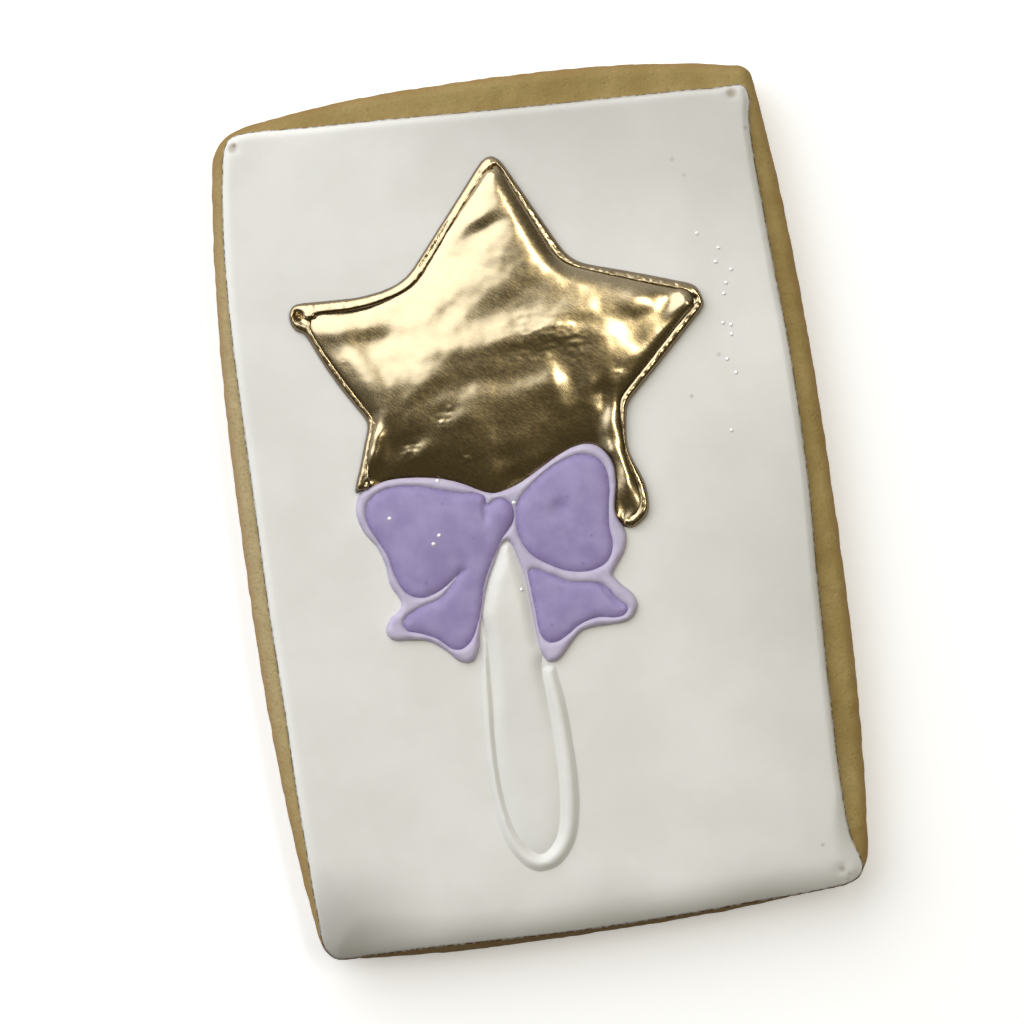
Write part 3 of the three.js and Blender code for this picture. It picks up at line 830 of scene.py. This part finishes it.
# Where it swells up against its line: x, y, radius, rise
STAR_SWELLS = [(19.0, 18.6, 1.6, 0.6), (-16.2, 7.4, 1.6, 0.5), (-15.9, 9.8, 1.2, 0.4)]
ARM_GROOVE = [(-18.6, 22.9), (-17.0, 22.75), (-15.4, 22.85), (-13.6, 23.1), (-12.2, 23.5)]
# Places where the gilding is rough: x, y, radius, depth
STAR_SCUFFS = [
    (5.2, 17.1, 1.8, 0.06), (6.6, 15.6, 1.3, 0.05), (1.5, 16.9, 2.4, 0.04), (-12, 7.4, 1.2, 0.09),
    (-8.5, 10.0, 0.8, 0.09), (-7.4, 11.3, 0.4, 0.1), (-6.6, 6.0, 0.7, 0.12), (10.4, 12.4, 0.8, 0.05),
]


def star_rims(region, bow):
    """The stretches of the flood's edge between its tips, away from the bow. Each is its points, and how
    much the edge faces the light at each point."""
    beside_bow = 0.5
    edge = evenly(region.starts, 0.04)
    lit = np.clip(-2 * inward(edge) @ TO_LIGHT - 1, 0, 1)
    free = reach_of(bow, edge) > beside_bow
    start = np.argmax(free & ~np.roll(free, 1))
    rim, lit = (np.roll(values, -start, 0)[:np.count_nonzero(free)] for values in (edge, lit))
    tips = sorted(nearest_of(rim, STAR_TIPS)[0])
    return list(zip(np.split(rim, tips), np.split(lit, tips)))


def star_fall(points, bow):
    """How far the flood lies below its crest. It falls away more to the upper left of the crest than to
    the other side, and most of all next to the bow, but for its right leg."""
    left_slope, right_slope, crest_width = 0.12, 0.01, 0.8
    bow_fall, bow_reach, joined = 1.75, 4.0, 3.0
    leg_drop, leg_fall, leg_reach = 0.75, 0.15, 0.6
    leg_from, leg_blend, leg_top, leg_top_blend = 6.5, 2, 8.5, 4
    beyond = across(points, STAR_CREST)
    fall = left_slope * softened(beyond, crest_width) + right_slope * softened(-beyond, crest_width)
    loops = [bow[side * bow[:, 0] > side * BOW_NOTCH] for side in (-1, 1)]
    near_loops = [-joined * reach_of(loop, points) / bow_reach for loop in loops]
    to_bow = bow_fall * np.exp(np.logaddexp(*near_loops) / joined)
    on_leg = leg_drop + leg_fall * np.exp(-reach_of(bow, points) / leg_reach)
    x, y = points.T
    leg = np.clip((x - leg_from) / leg_blend, 0, 1) * np.clip((leg_top - y) / leg_top_blend, 0, 1)
    return fall + to_bow + (on_leg - to_bow) * smoothed(leg)


def make_star_flood(material):
    """The gilded flood, which dips to its line where the edge faces the light, and is uneven all over."""
    region = region_of("star_flood", 0.2, 0.25)
    region = Region([slimmed(loop, 0.5) for loop in region.loops])
    bow = refined(footprint("bow_outline")[0], 0.1)
    rims = star_rims(region, bow)
    lip, lowest = 0.85, 0.12
    rise, reach = 0.65, 0.6
    shoulder, shoulder_reach = 0.4, 2.0
    lit_dip, lit_reach = 0.6, 0.5
    crest, fall_reach = 0.25, 0.9
    edge_reach = 0.7

    def height(points, distance):
        found = [(*nearest_of(rim, points), lit) for rim, lit in rims]
        from_rims = np.array([away for _, away, _ in found])
        z = BASE_TOP + lip + rise * risen(from_rims, reach) + shoulder * risen(from_rims, shoulder_reach)
        for nearest, away, lit in found:
            z -= lit_dip * lit[nearest] * np.exp(-away / lit_reach)
        z += (crest - star_fall(points, bow)) * risen(from_rims, fall_reach)
        z = np.maximum(z, BASE_TOP + lowest)
        inside = 1 - np.exp(-distance / edge_reach)
        for patch in STAR_LEANS:
            z += inside * lean(points, *patch)
        for x, y, radius, swell in STAR_SWELLS:
            z += swell * bell(points, x, y, radius)
        z -= groove(points, ARM_GROOVE, depth=0.16, width=0.3)
        scuff = grain(points * (0.4, 1), 0.4, 3, 8.0)
        for x, y, radius, depth in STAR_SCUFFS:
            z += inside * depth * scuff * bell(points, x, y, radius)
        return z + inside * 0.05 * grain(points, 4, 3, 1.0)

    insets = [0.06, 0.16, 0.3, 0.5, 0.75, 1.05]
    flood = moulded("gold_flood", region, height, ON_BASE, insets, 0.16, easing=2, crease=0.22)
    dress(flood, ["star_flood"], material)


# ---- The bow ----

# Creases are (route, depth, half-width), and swells are x, y, radius, rise
KNOT_CREASES = [([(-5.0, 1.4), (-5.2, 0.6), (-5.3, 0.0), (-5.4, -0.9)], 0.45, 0.3)]
LEFT_SWELLS = [(-3.3, -0.3, 1.3, 0.22), (-10.5, -1.5, 4.0, 0.12), (-9.5, -10.5, 2.0, -0.12)]
RIGHT_SWELLS = [(2.3, -0.4, 0.9, -0.25), (1.2, -1.2, 0.9, -0.08), (3.2, -3.9, 0.9, -0.08)]
TAIL_CREASES = [([(5.2, -8.4), (6.1, -9.8), (7.2, -11.5)], 0.3, 0.28)]
TAIL_SWELLS = [(6.9, -9.6, 0.8, 0.15), (1.2, -9.2, 0.8, -0.12), (4.4, -11.6, 1.0, 0.08)]
# The bow's floods: name, which opening of the line it fills, the nodes it stands for, creases, swells
BOW_FLOODS = [
    ("lilac_left", 1, ["bow_left_loop", "bow_knot", "bow_left_tail"], KNOT_CREASES, LEFT_SWELLS),
    ("lilac_right_loop", 2, ["bow_right_loop"], [], RIGHT_SWELLS),
    ("lilac_right_tail", 3, ["bow_right_tail"], TAIL_CREASES, TAIL_SWELLS),
]
# Darker specks in the lilac, and first a soft patch of painted shade in the right loop's dimple: x, y,
# radius, strength
LILAC_SPECKS_AND_SHADE = [
    (2.2, -0.5, 1.6, 0.35), (5.25, -3.8, 0.22, 0.6), (-12.4, -6.3, 0.3, 0.4), (4.0, -6.5, 0.25, 0.4),
    (3.3, 0.6, 0.3, 0.3), (-0.1, -12.4, 0.25, 0.4), (-9.6, 1.6, 0.3, 0.3), (-6.9, -2.4, 0.25, 0.3),
]


def make_bow_line(material):
    region = region_of("bow_outline", 0.18, 0.05)
    top, width = 0.78, 0.7

    def height(points, distance):
        return BASE_TOP + top * rounded(distance, width) + 0.03 * grain(points, 1.3, 3, 4.0)

    line = moulded("bow_line", region, height, ON_BASE, [0.05, 0.13, 0.24, 0.38, 0.55], 0.2, easing=3)
    dress(line, ["bow_outline"], material)


def make_bow_flood(name, opening, nodes, creases, swells, material):
    """A lilac flood that fills an opening in the bow's line. It was wet when the line was, so it meets
    the line well above the base."""
    lip, top, width, crown = 0.55, 1.0, 1.0, 0.25
    region = region_of("bow_outline", 0.18, 0.15, opening)

    def height(points, distance):
        swell = crown * (1 - np.exp(-distance / (2 * width)))
        z = BASE_TOP + lip + (top - lip - crown) * flattened(distance, width) + swell
        z += 0.03 * grain(points, 2.2, 2, 5.0) * np.minimum(distance, 1)
        for route, depth, spread in creases:
            z -= groove(points, route, depth, spread)
        for x, y, radius, rise in swells:
            z += rise * bell(points, x, y, radius)
        return z

    flood = moulded(name, region, height, ON_BASE, [0.08, 0.2, 0.36, 0.56, 0.8], 0.22, easing=2)
    dress(flood, nodes, material)


# ---- The handle ----

def make_handle_line(material):
    """The handle's line: a low soft ridge that dies away under the bow's right tail."""
    region = region_of("handle_outline", 0.18, 0.2)
    top, width, sunk = 0.6, 1.05, 0.04
    fade_from, fade_to, faded, right_side = -20.0, -16.0, 0.45, -4

    def height(points, distance):
        share = np.clip(distance / width, 0, 1)
        x, y = points.T
        fade = np.clip((y - fade_from) / (fade_to - fade_from), 0, 1) * (x > right_side)
        ridge = top * (1 - faded * fade) * smoothed(share)
        return BASE_TOP - sunk + ridge + 0.03 * grain(points, 1.5, 2, 4.0) * share

    insets = [0.07, 0.17, 0.3, 0.45, 0.62, 0.8]
    line = moulded("handle_line", region, height, ON_BASE, insets, 0.2, easing=1)
    dress(line, ["handle_outline"], material)


def make_handle_flood(material):
    """The handle's flood, which rises towards the bow."""
    region = region_of("handle_flood", 0.18, 0.25)
    low, high, width, sunk = 0.3, 0.95, 1.6, 0.03
    high_from, high_to = -26.0, -8.0

    def height(points, distance):
        to_bow = np.clip((points[:, 1] - high_from) / (high_to - high_from), 0, 1)
        top = low + (high - low) * smoothed(to_bow)
        uneven = 0.03 * grain(points, 3, 2, 5.0) * np.minimum(distance, 1)
        return BASE_TOP - sunk + top * flattened(distance, width) + uneven

    insets = [0.08, 0.2, 0.36, 0.56, 0.8]
    flood = moulded("handle_fill", region, height, ON_BASE, insets, 0.25, easing=2)
    dress(flood, ["handle_flood"], material)


# ---- Specks of sugar ----

SPECK_RADIUS, SPECK_HEIGHT, SPECK_SUNK = 0.25, 0.175, 0.08
# Where they lie: first on the base and the handle, then on the bow
SPECKS = [
    (20.5, 25.8), (22.5, 24.0), (22.0, 22.6), (23.5, 21.6), (22.8, 20.3), (22.4, 19.2), (21.9, 16.2),
    (22.7, 15.9), (22.6, 14.9), (21.8, 12.4), (22.5, 10.9), (21.2, 5.0), (-2.75, -8.35),
    (-15.25, 0.85), (-10.4, -1.6), (-11.1, -2.4), (-9.8, 4.0), (-2.25, 0.7),
]


def surface_under(x, y):
    """How high the cookie's surface is at a place."""
    above = Vector((x, y, 20.0)) * MM
    depsgraph = bpy.context.evaluated_depsgraph_get()
    return bpy.context.scene.ray_cast(depsgraph, above, (0, 0, -1))[1].z / MM


def dome(x, y, level, rings=4, sides=10):
    """The points and faces of a closed low dome that stands on a level."""
    points, faces = [], []
    for ring in range(rings):
        lift = math.pi / 2 * ring / rings
        reach, z = SPECK_RADIUS * math.cos(lift), level + SPECK_HEIGHT * math.sin(lift)
        for side in range(sides):
            turn = math.tau * side / sides
            points.append((x + reach * math.cos(turn), y + reach * math.sin(turn), z))
    points.append((x, y, level + SPECK_HEIGHT))
    for ring in range(rings - 1):
        for side in range(sides):
            a, b = ring * sides + side, ring * sides + (side + 1) % sides
            faces.append([a, b, b + sides, a + sides])
    last = (rings - 1) * sides
    faces += [[last + side, last + (side + 1) % sides, rings * sides] for side in range(sides)]
    faces.append(list(reversed(range(sides))))
    return points, faces


def make_specks(material):
    """Specks of sugar that catch the light, each a low dome that stands on what is under it."""
    levels = [surface_under(x, y) for x, y in SPECKS]
    points, faces = [], []
    for (x, y), level in zip(SPECKS, levels):
        dome_points, dome_faces = dome(x, y, level - SPECK_SUNK)
        faces += [[len(points) + v for v in face] for face in dome_faces]
        points += dome_points
    specks = mesh_object("sugar_specks", np.array(points), faces)
    specks.data.materials.append(material)
    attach(specks, "root")


# ---- The scene ----

WHITE, WHITE_DEEPER = srgb(238, 236, 232), srgb(231, 229, 224)
white = icing("white_royal_icing", WHITE, WHITE_DEEPER)
# The base's spots: its pinholes, and grey patches that are painted shade
shade_and_pinhole_spots = [(PAINTED_SHADE_PATCHES, srgb(145, 142, 133)), (PINHOLES, srgb(150, 130, 105))]
# Its edge colour is a painted contact shadow round the skirt, with biscuit showing through, and painted shade
# along the bottom edge
white_base = icing("white_base_icing", WHITE, WHITE_DEEPER, spots=shade_and_pinhole_spots, edge=srgb(88, 66, 38))
# The lilac's darker edge colour is painted shade where each flood meets its line
LILAC, LILAC_DEEPER, LILAC_EDGE_SHADE = srgb(166, 153, 199), srgb(152, 137, 186), srgb(138, 121, 170)
lilac_specks_and_shade = [(LILAC_SPECKS_AND_SHADE, srgb(116, 98, 146))]
lilac = icing("lilac_royal_icing", LILAC, LILAC_DEEPER, clouds=2.2, roughness=0.5,
              spots=lilac_specks_and_shade, edge=LILAC_EDGE_SHADE)
PALE_LILAC, PALE_DEEPER = srgb(203, 195, 217), srgb(192, 181, 209)
pale_lilac = icing("pale_lilac_royal_icing", PALE_LILAC, PALE_DEEPER, clouds=1.5, roughness=0.5)
gold = gilt()

make_camera()
make_floor()
make_world()
make_light("key", azimuth=135, height=46, distance=0.7, size=(0.9, 0.9), power=4.5, colour=(0.935, 0.97, 1))
make_light("strip", azimuth=25, height=70, distance=0.7, size=(0.38, 0.11), power=1.1, colour=(1, 0.95, 0.8))
bpy.context.scene.view_settings.view_transform = "Standard"

make_biscuit(baked())
make_base(white_base)
make_gold_line(gold)
make_star_flood(gold)
make_bow_line(pale_lilac)
for flood in BOW_FLOODS:
    make_bow_flood(*flood, lilac)
make_handle_line(white)
make_handle_flood(white)
make_specks(sugar())

[[list(corner) for corner in box] for box in (cad_bounds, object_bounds())]
